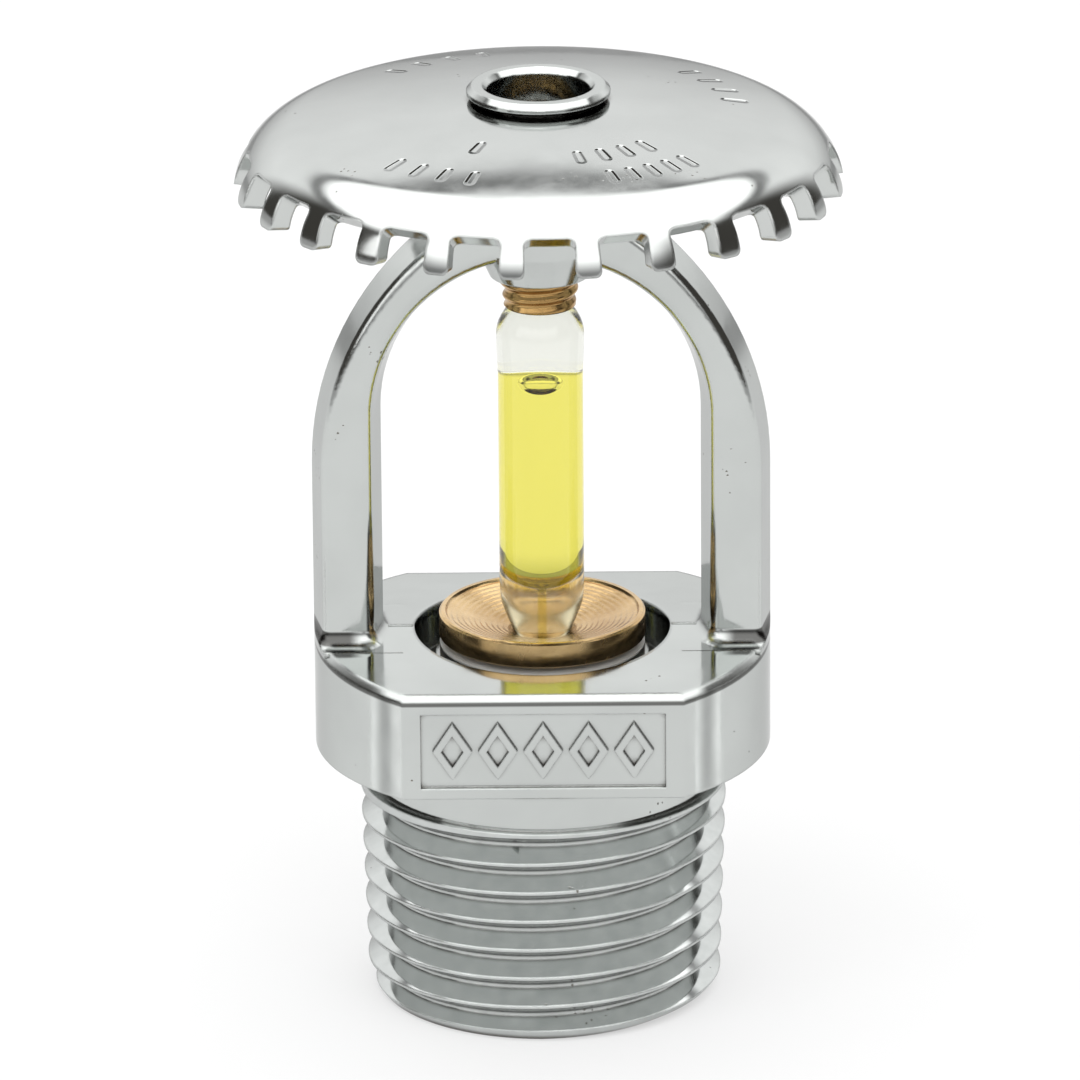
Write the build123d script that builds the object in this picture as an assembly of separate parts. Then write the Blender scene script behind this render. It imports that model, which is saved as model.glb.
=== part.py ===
from build123d import *
import os
from math import atan, atan2, ceil, cos, degrees, hypot, pi, radians, sin, sqrt, tan

# Upright glass-bulb fire sprinkler head. Millimetres, +Z from the inlet towards the deflector.
# The origin is the centre of the inlet end face, X runs along the frame arms, and the wrench
# flat with the relief panel faces -Y.

# Inlet thread: 1/2 inch taper pipe thread, 14 per inch, 1:16 on the diameter
THREAD_PITCH = 25.4 / 14
THREAD_TAPER = 1 / 32               # radius gained per mm of height
THREAD_START_RADIUS = 10.43         # crest radius at the inlet end face
THREAD_DEPTH = 1.22
THREAD_CREST_FLAT = 0.16
THREAD_ROOT_FLAT = 0.20
THREAD_TOP = 12.2                   # where the groove starts to run out
THREAD_RUNOUT = 1.0
THREAD_RUNOUT_ANGLE = 57            # cone half angle of the vanishing half turn
END_CHAMFER_RADIUS = 9.80
END_CHAMFER_HEIGHT = 0.90
NECK_RADIUS = 10.40
NECK_BOTTOM = 13.30

# Wrench boss
BOSS_RADIUS = 13.45
BOSS_BOTTOM = 15.50
BOSS_RIDGE = 22.40                  # height of the ridge along X
BOSS_ROOF_ANGLE = 2.8               # the casting's draft each side of the ridge
BOSS_CHAMFER = 0.35
FLAT_DISTANCE = 10.66               # from the axis to each wrench flat
PANEL_WIDTH = 14.3
PANEL_HEIGHT = 4.6
PANEL_DEPTH = 0.28
PANEL_CENTRE = 18.45
LOZENGE_COUNT = 5
LOZENGE_HALF_WIDTH = 1.15
LOZENGE_HALF_HEIGHT = 1.75
LOZENGE_STROKE = 0.42

# Waterway and seat
INLET_BORE_RADIUS = 7.40
INLET_BORE_TOP = 12.0
ORIFICE_RADIUS = 5.50
ORIFICE_BOTTOM = 17.0
SEAT_HEIGHT = 20.75
SEAT_OUTER_RADIUS = 6.30
RECESS_RADIUS = 7.55
RECESS_FLOOR = 19.60

# Arms
ARM_OUTER = 13.45
ARM_INNER = 9.38
ARM_HALF_DEPTH = 2.90
ARM_DRAFT = 12                      # degrees each side of the parting plane y = 0
ARM_ROOT = 21.0
ARCH_OUTER_START = 32.70
ARCH_OUTER_RADIUS = 19.00
ARCH_INNER_START = 36.15
ARCH_INNER_RADIUS = 9.38
ARM_OUTER_ROUND = 0.55
ARM_INNER_ROUND = 0.80
ARM_FOOT_ROUND = 0.90

# Knuckle, spigot and rolled rim
KNUCKLE_RADIUS = 3.80
KNUCKLE_TIP_RADIUS = 2.95
KNUCKLE_BOTTOM = 44.30
KNUCKLE_CONE_TOP = 46.20
SHOULDER_HEIGHT = 53.75
SPIGOT_RADIUS = 3.55
RIM_RADIUS = 4.20
RIM_TOP = 55.85
RIM_HOLE_RADIUS = 3.00
DRIVER_WELL_FLOOR = 52.20

# Compression screw, M5 x 0.8
SCREW_RADIUS = 2.50
SCREW_PITCH = 0.80
SCREW_THREAD_DEPTH = 0.36
SCREW_BOTTOM = 42.35
SCREW_TIP_RADIUS = 2.00
SCREW_TIP_HEIGHT = 0.70
SCREW_TOP = 51.60
SCREW_FIT = 0.05                    # radial running clearance in the knuckle
HEX_ACROSS_FLATS = 2.50
HEX_DEPTH = 2.20
CUP_CLEARANCE = 0.06

# Bulb
BULB_RADIUS = 2.50
BULB_TOP = 43.00
BULB_SHOULDER = 24.80
BULB_FOOT_RADIUS = 1.90
BULB_FOOT = 21.10
GLASS_WALL = 0.50
FLUID_TOP = 38.20
FLUID_BOTTOM = 24.90
STEM_RADIUS = 0.22
STEM_BOTTOM = 21.90
BUBBLE_RADIUS = 1.10
BUBBLE_DEPTH = 1.50

# Button
BUTTON_RADIUS = 6.08
BUTTON_RIM_TOP = 23.40
BUTTON_FLANGE_BOTTOM = 21.85
BUTTON_PILOT_RADIUS = 3.55
BUTTON_PILOT_BOTTOM = 18.40
DISH_OUTER_RADIUS = 5.72
DISH_INNER_RADIUS = 1.95
POCKET_RADIUS = 0.70
POCKET_FLOOR = 20.30
BUTTON_BEVEL = 0.16
FOOT_CLEARANCE = 0.03

# Disc spring with a seal film on each face
SPRING_INNER_RADIUS = 3.66
SPRING_OUTER_RADIUS = 6.05
SPRING_THICKNESS = 0.50
SPRING_DROP = 0.36                  # how much lower the outer edge lies than the inner edge
FILM_THICKNESS = 0.10
FILM_CLEARANCE = 0.01

# Deflector
DEFLECTOR_TOP = 55.20
DEFLECTOR_SHEET = 1.30
DOME_RADIUS = 68.0
DOME_EDGE = 14.4                    # where the dome turns into the bend
BEND_RADIUS = 4.3
SKIRT_ANGLE = 80                    # slope of the teeth below the horizontal
SKIRT_BOTTOM = 49.85
TOOTH_COUNT = 25
TOOTH_PHASE = 2.0                   # degrees, a slot's bearing from -Y towards +X
SLOT_WIDTH = 2.95
SLOT_ANGLE = 53                     # how far round the bend the slots reach
TICK_DEPTH = 0.16
TICK_WIDTH = 0.34
TICK_LENGTH = 1.50

AXIS_LOW = (Align.CENTER, Align.CENTER, Align.MIN)


def thread_radius(height):
    """Crest radius of the inlet thread at a height."""
    return THREAD_START_RADIUS + THREAD_TAPER * height


def turned(points):
    """Solid turned about Z from an outline of (radius, height) points."""
    outline = Polyline(*[(r, 0, z) for r, z in points], close=True)
    return revolve(make_face(outline), Axis.Z, 360)


def tube(radius, bottom, top):
    """Plain cylinder standing on the axis between two heights."""
    return Pos(0, 0, bottom) * Cylinder(radius, top - bottom, align=AXIS_LOW)


def thread_groove(bottom, top, radius, cone_angle):
    """V-shaped cutter swept along one stretch of the taper thread."""
    path = Helix(THREAD_PITCH, top - bottom, radius, center=(0, 0, bottom), cone_angle=cone_angle)
    proud = 0.04
    half_root = THREAD_ROOT_FLAT / 2
    half_mouth = (THREAD_PITCH - THREAD_CREST_FLAT) / 2
    slope = (half_mouth - half_root) / THREAD_DEPTH
    half_outer = half_mouth + slope * proud
    section = Polygon(
        (-THREAD_DEPTH, -half_root), (proud, -half_outer), (proud, half_outer), (-THREAD_DEPTH, half_root),
        align=None)
    start = Plane(origin=path @ 0, x_dir=(1, 0, 0), z_dir=path % 0)
    return sweep(start * section, path=path, is_frenet=True)


def threaded_inlet():
    """Turned inlet: thread cut on an over-long taper cone, then the end trimmed and chamfered."""
    spare = 2 * THREAD_PITCH
    body = turned([
        (0, -spare), (thread_radius(-spare), -spare), (thread_radius(NECK_BOTTOM), NECK_BOTTOM),
        (NECK_RADIUS, NECK_BOTTOM), (NECK_RADIUS, BOSS_BOTTOM + 1), (0, BOSS_BOTTOM + 1)])
    bottom = -THREAD_PITCH
    long_groove = thread_groove(bottom, THREAD_TOP, thread_radius(bottom), degrees(atan(THREAD_TAPER)))
    end_turn = 360 * (THREAD_TOP - bottom) / THREAD_PITCH
    runout = thread_groove(
        THREAD_TOP, THREAD_TOP + THREAD_RUNOUT, thread_radius(THREAD_TOP), THREAD_RUNOUT_ANGLE)
    body -= long_groove
    body -= Rot(0, 0, end_turn) * runout
    chamfer_slope = (thread_radius(END_CHAMFER_HEIGHT) - END_CHAMFER_RADIUS) / END_CHAMFER_HEIGHT
    return body & turned([
        (0, 0), (END_CHAMFER_RADIUS, 0),
        (END_CHAMFER_RADIUS + chamfer_slope * spare, spare),
        (END_CHAMFER_RADIUS + chamfer_slope * spare, BOSS_BOTTOM + 1), (0, BOSS_BOTTOM + 1)])


def wrench_boss():
    """Round boss with two flats and a shallow two-sided roof."""
    boss = tube(BOSS_RADIUS, BOSS_BOTTOM, BOSS_RIDGE)
    boss &= Box(4 * BOSS_RADIUS, 2 * FLAT_DISTANCE, 4 * BOSS_RIDGE)
    eaves_drop = BOSS_RADIUS * tan(radians(BOSS_ROOF_ANGLE))
    roof = Plane.YZ * Polygon(
        (-BOSS_RADIUS, BOSS_RIDGE - eaves_drop), (0, BOSS_RIDGE), (BOSS_RADIUS, BOSS_RIDGE - eaves_drop),
        (BOSS_RADIUS, 0), (-BOSS_RADIUS, 0), align=None)
    boss &= extrude(roof, 2 * BOSS_RADIUS, both=True)
    rim = [e for e in boss.edges()
           if e.center().Z > BOSS_RIDGE - eaves_drop - 0.1
           and hypot(e.center().X, e.center().Y) > FLAT_DISTANCE - 0.5]
    return chamfer(rim, BOSS_CHAMFER)


def on_arch(edge, limit, start, radius):
    """True where an edge of an arm follows the stated outline."""
    middle = edge.position_at(0.5)
    across = abs(middle.X)
    if middle.Z <= start:
        return abs(across - limit) < 0.01
    return abs(hypot(across - (limit - radius), middle.Z - start) - radius) < 0.01


def arm_outline():
    """Side view of one arm: straight leg, then an arch that leans in to the knuckle."""
    outer_centre = ARM_OUTER - ARCH_OUTER_RADIUS
    inner_centre = ARM_INNER - ARCH_INNER_RADIUS
    outer_top = ARCH_OUTER_START + sqrt(ARCH_OUTER_RADIUS ** 2 - outer_centre ** 2)
    inner_top = ARCH_INNER_START + sqrt(ARCH_INNER_RADIUS ** 2 - inner_centre ** 2)
    outer_angle = atan2(outer_top - ARCH_OUTER_START, -outer_centre) / 2
    inner_angle = atan2(inner_top - ARCH_INNER_START, -inner_centre) / 2
    outer_mid = (outer_centre + ARCH_OUTER_RADIUS * cos(outer_angle),
                 ARCH_OUTER_START + ARCH_OUTER_RADIUS * sin(outer_angle))
    inner_mid = (inner_centre + ARCH_INNER_RADIUS * cos(inner_angle),
                 ARCH_INNER_START + ARCH_INNER_RADIUS * sin(inner_angle))
    edges = [
        Line((ARM_INNER, ARM_ROOT), (ARM_OUTER, ARM_ROOT)),
        Line((ARM_OUTER, ARM_ROOT), (ARM_OUTER, ARCH_OUTER_START)),
        ThreePointArc((ARM_OUTER, ARCH_OUTER_START), outer_mid, (0, outer_top)),
        Line((0, outer_top), (0, inner_top)),
        ThreePointArc((0, inner_top), inner_mid, (ARM_INNER, ARCH_INNER_START)),
        Line((ARM_INNER, ARCH_INNER_START), (ARM_INNER, ARM_ROOT))]
    return Plane.XZ * make_face(edges)


def arm():
    """One frame arm on the +X side: drafted both ways from the parting plane, long edges rounded."""
    half = extrude(arm_outline(), ARM_HALF_DEPTH, taper=ARM_DRAFT)
    body = half + mirror(half, Plane.XZ)
    inset = ARM_HALF_DEPTH * tan(radians(ARM_DRAFT))
    for limit, start, radius, round_off in (
            (ARM_INNER + inset, ARCH_INNER_START, ARCH_INNER_RADIUS + inset, ARM_INNER_ROUND),
            (ARM_OUTER - inset, ARCH_OUTER_START, ARCH_OUTER_RADIUS - inset, ARM_OUTER_ROUND)):
        long_edges = [e for e in body.edges()
                      if abs(abs(e.center().Y) - ARM_HALF_DEPTH) < 0.01 and on_arch(e, limit, start, radius)]
        body = fillet(long_edges, round_off)
    spread = ARM_FOOT_ROUND + 0.3
    foot_top = BOSS_RIDGE - (ARM_HALF_DEPTH + ARM_FOOT_ROUND) * tan(radians(BOSS_ROOF_ANGLE))
    foot = Pos((ARM_INNER + ARM_OUTER) / 2, 0, (ARM_ROOT + foot_top) / 2) * Box(
        ARM_OUTER - ARM_INNER + 2 * spread, 2 * (ARM_HALF_DEPTH + spread), foot_top - ARM_ROOT)
    body += foot
    crease = [e for e in body.edges()
              if abs(e.center().Z - foot_top) < 0.01
              and abs(e.center().Y) < ARM_HALF_DEPTH + 0.01
              and ARM_INNER - 0.01 < e.center().X < ARM_OUTER + 0.01]
    body = fillet(crease, ARM_FOOT_ROUND)
    return body & tube(BOSS_RADIUS, 0, RIM_TOP)


def knuckle():
    """Knuckle that the arms meet in, with the spigot and its rolled rim on top."""
    rim_round = 0.30
    return turned([
        (0, KNUCKLE_BOTTOM), (KNUCKLE_TIP_RADIUS, KNUCKLE_BOTTOM), (KNUCKLE_RADIUS, KNUCKLE_CONE_TOP),
        (KNUCKLE_RADIUS, SHOULDER_HEIGHT), (SPIGOT_RADIUS, SHOULDER_HEIGHT),
        (SPIGOT_RADIUS, DEFLECTOR_TOP), (RIM_RADIUS - rim_round / 2, DEFLECTOR_TOP),
        (RIM_RADIUS, DEFLECTOR_TOP + rim_round / 2), (RIM_RADIUS, RIM_TOP - rim_round),
        (RIM_RADIUS - rim_round, RIM_TOP), (RIM_HOLE_RADIUS + rim_round, RIM_TOP),
        (RIM_HOLE_RADIUS, RIM_TOP - rim_round), (RIM_HOLE_RADIUS, DRIVER_WELL_FLOOR),
        (0, DRIVER_WELL_FLOOR)])


def waterway():
    """Everything that is bored out of the inlet: entry, orifice, and the recess round the seat."""
    return turned([
        (0, -1), (INLET_BORE_RADIUS, -1), (INLET_BORE_RADIUS, INLET_BORE_TOP),
        (ORIFICE_RADIUS, ORIFICE_BOTTOM), (ORIFICE_RADIUS, SEAT_HEIGHT), (SEAT_OUTER_RADIUS, SEAT_HEIGHT),
        (SEAT_OUTER_RADIUS, RECESS_FLOOR), (RECESS_RADIUS, RECESS_FLOOR),
        (RECESS_RADIUS, BOSS_RIDGE + 1), (0, BOSS_RIDGE + 1)])


def lozenge(half_width, half_height):
    """Upright diamond outline, centred."""
    return Polygon((-half_width, 0), (0, -half_height), (half_width, 0), (0, half_height), align=None)


def relief_panel():
    """Cutter for the sunk panel, which leaves a row of plain raised diamonds standing in it."""
    sketch = Rectangle(PANEL_WIDTH, PANEL_HEIGHT)
    spacing = PANEL_WIDTH / (LOZENGE_COUNT + 0.4)
    inner_width = LOZENGE_HALF_WIDTH - LOZENGE_STROKE * 1.2
    inner_height = inner_width * LOZENGE_HALF_HEIGHT / LOZENGE_HALF_WIDTH
    for place in range(LOZENGE_COUNT):
        x = (place - (LOZENGE_COUNT - 1) / 2) * spacing
        sketch -= Pos(x, 0) * lozenge(LOZENGE_HALF_WIDTH, LOZENGE_HALF_HEIGHT)
        sketch += Pos(x, 0) * lozenge(inner_width, inner_height)
    front = Plane(origin=(0, -FLAT_DISTANCE, PANEL_CENTRE), x_dir=(1, 0, 0), z_dir=(0, 1, 0))
    return extrude(front * sketch, PANEL_DEPTH)


def frame():
    """The casting: inlet, boss, arms, knuckle and spigot in one piece."""
    body = threaded_inlet() + wrench_boss()
    right = arm()
    body += right
    body += mirror(right, Plane.YZ)
    body += knuckle()
    body -= tube(SCREW_RADIUS + SCREW_FIT, KNUCKLE_BOTTOM - 1, DRIVER_WELL_FLOOR + 1)
    body -= waterway()
    body -= relief_panel()
    return body


def bend():
    """Slope of the dome where the bend starts, and the (radius, height) centre of the bend."""
    slope = degrees(atan(DOME_EDGE / sqrt(DOME_RADIUS ** 2 - DOME_EDGE ** 2)))
    edge_height = DEFLECTOR_TOP - DOME_RADIUS + sqrt(DOME_RADIUS ** 2 - DOME_EDGE ** 2)
    centre = (DOME_EDGE - BEND_RADIUS * sin(radians(slope)), edge_height - BEND_RADIUS * cos(radians(slope)))
    return slope, centre


def deflector_profile(offset):
    """Top outline of the sheet, or with an offset the outline that much further inside."""
    slope, centre = bend()
    radius = BEND_RADIUS - offset
    dome = DOME_RADIUS - offset
    dome_centre = DEFLECTOR_TOP - DOME_RADIUS

    def on_dome(angle):
        return (dome * sin(radians(angle)), dome_centre + dome * cos(radians(angle)))

    def on_bend(angle):
        return (centre[0] + radius * sin(radians(angle)), centre[1] + radius * cos(radians(angle)))

    start = on_dome(0)
    middle = on_dome(slope / 2)
    end = on_dome(slope)
    skirt = on_bend(SKIRT_ANGLE)
    drop = skirt[1] - SKIRT_BOTTOM
    foot = (skirt[0] + drop / tan(radians(SKIRT_ANGLE)), SKIRT_BOTTOM)
    return start, middle, end, on_bend((slope + SKIRT_ANGLE) / 2), skirt, foot


def deflector_blank():
    """Dished disc turned about the axis, before the slots are punched."""
    top = deflector_profile(0)
    low = deflector_profile(DEFLECTOR_SHEET)
    edges = [
        ThreePointArc(top[0], top[1], top[2]), ThreePointArc(top[2], top[3], top[4]), Line(top[4], top[5]),
        Line(top[5], low[5]),
        Line(low[5], low[4]), ThreePointArc(low[4], low[3], low[2]), ThreePointArc(low[2], low[1], low[0]),
        Line(low[0], top[0])]
    return revolve(Plane.XZ * make_face(edges), Axis.Z, 360)


def tick_marks():
    """Short plain dashes pressed into the dome where a maker would stamp a marking."""
    marks = []
    for radius, first, last, count in ((12.3, 20, 44, 5), (9.6, 14, 40, 4), (12.3, 318, 342, 4),
                                       (11.6, 100, 130, 4), (11.6, 196, 226, 4), (8.6, 336, 336, 1)):
        step = (last - first) / max(count - 1, 1)
        for index in range(count):
            bearing = first + step * index
            drop = DOME_RADIUS - sqrt(DOME_RADIUS ** 2 - radius ** 2)
            tilt = degrees(atan(radius / DOME_RADIUS))
            dash = Box(TICK_WIDTH, TICK_LENGTH, 2 * TICK_DEPTH)
            place = Rot(0, 0, bearing) * Pos(0, -radius, DEFLECTOR_TOP - drop) * Rot(tilt, 0, 0)
            marks.append(place * dash)
    return marks


def deflector():
    """Domed plate with a bent toothed edge, held under the rolled rim."""
    body = deflector_blank()
    body -= tube(SPIGOT_RADIUS, 0, 2 * DEFLECTOR_TOP)
    slope, centre = bend()
    mid_radius = BEND_RADIUS - DEFLECTOR_SHEET / 2
    end = (centre[0] + mid_radius * sin(radians(SLOT_ANGLE)), centre[1] + mid_radius * cos(radians(SLOT_ANGLE)))
    reach = 6.0
    slot = Pos(0, -end[0], end[1]) * Rot(SLOT_ANGLE - 90, 0, 0) * Pos(0, 0, -reach / 2) * Box(
        SLOT_WIDTH, 4 * DEFLECTOR_SHEET, reach)
    for index in range(TOOTH_COUNT):
        body -= Rot(0, 0, TOOTH_PHASE + 360 * index / TOOTH_COUNT) * slot
    body -= tick_marks()
    return body


def compression_screw():
    """Brass set screw: cup point for the bulb, ridged shank, and a hexagon socket on top."""
    shank = turned([
        (0, SCREW_BOTTOM), (SCREW_TIP_RADIUS, SCREW_BOTTOM),
        (SCREW_TIP_RADIUS, SCREW_BOTTOM + SCREW_TIP_HEIGHT / 2),
        (SCREW_RADIUS, SCREW_BOTTOM + SCREW_TIP_HEIGHT),
        (SCREW_RADIUS, SCREW_TOP - SCREW_THREAD_DEPTH), (SCREW_RADIUS - SCREW_THREAD_DEPTH, SCREW_TOP),
        (0, SCREW_TOP)])
    first = SCREW_BOTTOM + SCREW_TIP_HEIGHT + SCREW_PITCH * 0.6
    ridges = ceil((SCREW_TOP - SCREW_THREAD_DEPTH - first) / SCREW_PITCH) - 1
    half = 0.28 * SCREW_PITCH
    for index in range(ridges):
        z = first + index * SCREW_PITCH
        root = SCREW_RADIUS - SCREW_THREAD_DEPTH
        shank -= turned([
            (SCREW_RADIUS + 0.1, z - half - 0.1), (root, z - 0.05), (root, z + 0.05),
            (SCREW_RADIUS + 0.1, z + half + 0.1)])
    cup = Pos(0, 0, BULB_TOP - BULB_RADIUS) * Sphere(BULB_RADIUS + CUP_CLEARANCE)
    socket = extrude(RegularPolygon(HEX_ACROSS_FLATS / 2, 6, major_radius=False), HEX_DEPTH)
    return shank - cup - Pos(0, 0, SCREW_TOP - HEX_DEPTH) * socket


def bulb_outside():
    """Outer form of the bulb: round head, straight body, and a tapered foot with a round end."""
    head_centre = BULB_TOP - BULB_RADIUS
    foot_centre = BULB_FOOT + BULB_FOOT_RADIUS
    tangent = radians(17)
    taper_end = (BULB_FOOT_RADIUS * cos(tangent), foot_centre - BULB_FOOT_RADIUS * sin(tangent))
    low = radians(53)
    foot_mid = (BULB_FOOT_RADIUS * cos(low), foot_centre - BULB_FOOT_RADIUS * sin(low))
    eighth = pi / 4
    edges = [
        Line((0, BULB_TOP), (0, BULB_FOOT)),
        ThreePointArc((0, BULB_FOOT), foot_mid, taper_end),
        Line(taper_end, (BULB_RADIUS, BULB_SHOULDER)),
        Line((BULB_RADIUS, BULB_SHOULDER), (BULB_RADIUS, head_centre)),
        ThreePointArc(
            (BULB_RADIUS, head_centre),
            (BULB_RADIUS * cos(eighth), head_centre + BULB_RADIUS * sin(eighth)), (0, BULB_TOP))]
    return revolve(Plane.XZ * make_face(edges), Axis.Z, 360)


def bulb_cavity():
    """Space inside the glass: a round-bottomed chamber with the thin stem below it."""
    radius = BULB_RADIUS - GLASS_WALL
    eighth = pi / 4
    floor_rise = 1.2
    roof_drop = 0.5
    edges = [
        Line((0, FLUID_TOP), (0, STEM_BOTTOM)),
        Line((0, STEM_BOTTOM), (STEM_RADIUS, STEM_BOTTOM)),
        Line((STEM_RADIUS, STEM_BOTTOM), (STEM_RADIUS, FLUID_BOTTOM)),
        ThreePointArc(
            (STEM_RADIUS, FLUID_BOTTOM),
            (radius * sin(eighth), FLUID_BOTTOM + floor_rise * (1 - cos(eighth)) + 0.05),
            (radius, FLUID_BOTTOM + floor_rise)),
        Line((radius, FLUID_BOTTOM + floor_rise), (radius, FLUID_TOP - roof_drop)),
        Line((radius, FLUID_TOP - roof_drop), (radius - roof_drop, FLUID_TOP)),
        Line((radius - roof_drop, FLUID_TOP), (0, FLUID_TOP))]
    return revolve(Plane.XZ * make_face(edges), Axis.Z, 360)


def bulb_glass():
    return bulb_outside() - bulb_cavity()


def bulb_fluid():
    """Liquid that fills the chamber, except for the small gas bubble at its top."""
    low = FLUID_TOP - BUBBLE_DEPTH
    bubble = turned([
        (0, low), (0.5 * BUBBLE_RADIUS, low + 0.1 * BUBBLE_DEPTH),
        (0.87 * BUBBLE_RADIUS, low + 0.3 * BUBBLE_DEPTH), (BUBBLE_RADIUS, low + 0.6 * BUBBLE_DEPTH),
        (BUBBLE_RADIUS, FLUID_TOP + 1), (0, FLUID_TOP + 1)])
    return bulb_cavity() - bubble


def button():
    """Turned cap: dished flange, pocket for the bulb's foot, and a pilot in the orifice."""
    contact = BULB_FOOT_RADIUS / sqrt(2)
    contact_height = BULB_FOOT + BULB_FOOT_RADIUS - contact - FOOT_CLEARANCE
    pilot_bevel = 0.4
    return turned([
        (0, POCKET_FLOOR), (POCKET_RADIUS, POCKET_FLOOR),
        (POCKET_RADIUS, contact_height - contact + POCKET_RADIUS),
        (DISH_INNER_RADIUS, contact_height - contact + DISH_INNER_RADIUS),
        (DISH_OUTER_RADIUS, BUTTON_RIM_TOP), (BUTTON_RADIUS - BUTTON_BEVEL, BUTTON_RIM_TOP),
        (BUTTON_RADIUS, BUTTON_RIM_TOP - BUTTON_BEVEL), (BUTTON_RADIUS, BUTTON_FLANGE_BOTTOM),
        (BUTTON_PILOT_RADIUS, BUTTON_FLANGE_BOTTOM),
        (BUTTON_PILOT_RADIUS, BUTTON_PILOT_BOTTOM + pilot_bevel),
        (BUTTON_PILOT_RADIUS - pilot_bevel, BUTTON_PILOT_BOTTOM), (0, BUTTON_PILOT_BOTTOM)])


def cone_ring(bottom, thickness):
    """Ring that falls from its inner edge to its outer edge, of one thickness."""
    return turned([
        (SPRING_OUTER_RADIUS, bottom), (SPRING_OUTER_RADIUS, bottom + thickness),
        (SPRING_INNER_RADIUS, bottom + SPRING_DROP + thickness), (SPRING_INNER_RADIUS, bottom + SPRING_DROP)])


LOWER_FILM_BOTTOM = SEAT_HEIGHT + FILM_CLEARANCE
SPRING_BOTTOM = LOWER_FILM_BOTTOM + FILM_THICKNESS
UPPER_FILM_BOTTOM = SPRING_BOTTOM + SPRING_THICKNESS

PIECES = {
    "frame": frame,
    "deflector": deflector,
    "compression_screw": compression_screw,
    "bulb_glass": bulb_glass,
    "bulb_fluid": bulb_fluid,
    "button": button,
    "disc_spring": lambda: cone_ring(SPRING_BOTTOM, SPRING_THICKNESS),
    "upper_seal_film": lambda: cone_ring(UPPER_FILM_BOTTOM, FILM_THICKNESS),
    "lower_seal_film": lambda: cone_ring(LOWER_FILM_BOTTOM, FILM_THICKNESS),
}

os.makedirs("parts", exist_ok=True)
for name, make in PIECES.items():
    export_step(make(), "parts/" + name + ".step")
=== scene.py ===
from math import asin, atan, cos, degrees, pi, radians, sin, sqrt, tan

import bmesh
import bpy
from mathutils import Euler, Matrix, Vector


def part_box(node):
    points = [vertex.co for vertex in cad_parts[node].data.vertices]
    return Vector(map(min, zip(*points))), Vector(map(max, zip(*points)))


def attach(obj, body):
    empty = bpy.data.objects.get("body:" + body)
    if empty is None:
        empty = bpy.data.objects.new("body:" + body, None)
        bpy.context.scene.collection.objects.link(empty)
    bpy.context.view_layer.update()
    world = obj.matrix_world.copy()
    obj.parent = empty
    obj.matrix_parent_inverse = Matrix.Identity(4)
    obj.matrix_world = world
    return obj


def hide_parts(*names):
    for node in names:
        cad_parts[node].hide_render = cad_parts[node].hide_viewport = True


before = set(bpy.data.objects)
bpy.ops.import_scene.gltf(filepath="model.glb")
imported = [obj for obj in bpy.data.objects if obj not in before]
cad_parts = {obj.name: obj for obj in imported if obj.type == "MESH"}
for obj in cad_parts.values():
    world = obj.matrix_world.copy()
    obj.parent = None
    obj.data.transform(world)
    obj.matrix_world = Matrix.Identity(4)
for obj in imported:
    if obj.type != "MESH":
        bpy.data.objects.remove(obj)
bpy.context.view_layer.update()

MM = 0.001


# ---------------------------------------------------------------- node helpers

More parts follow.
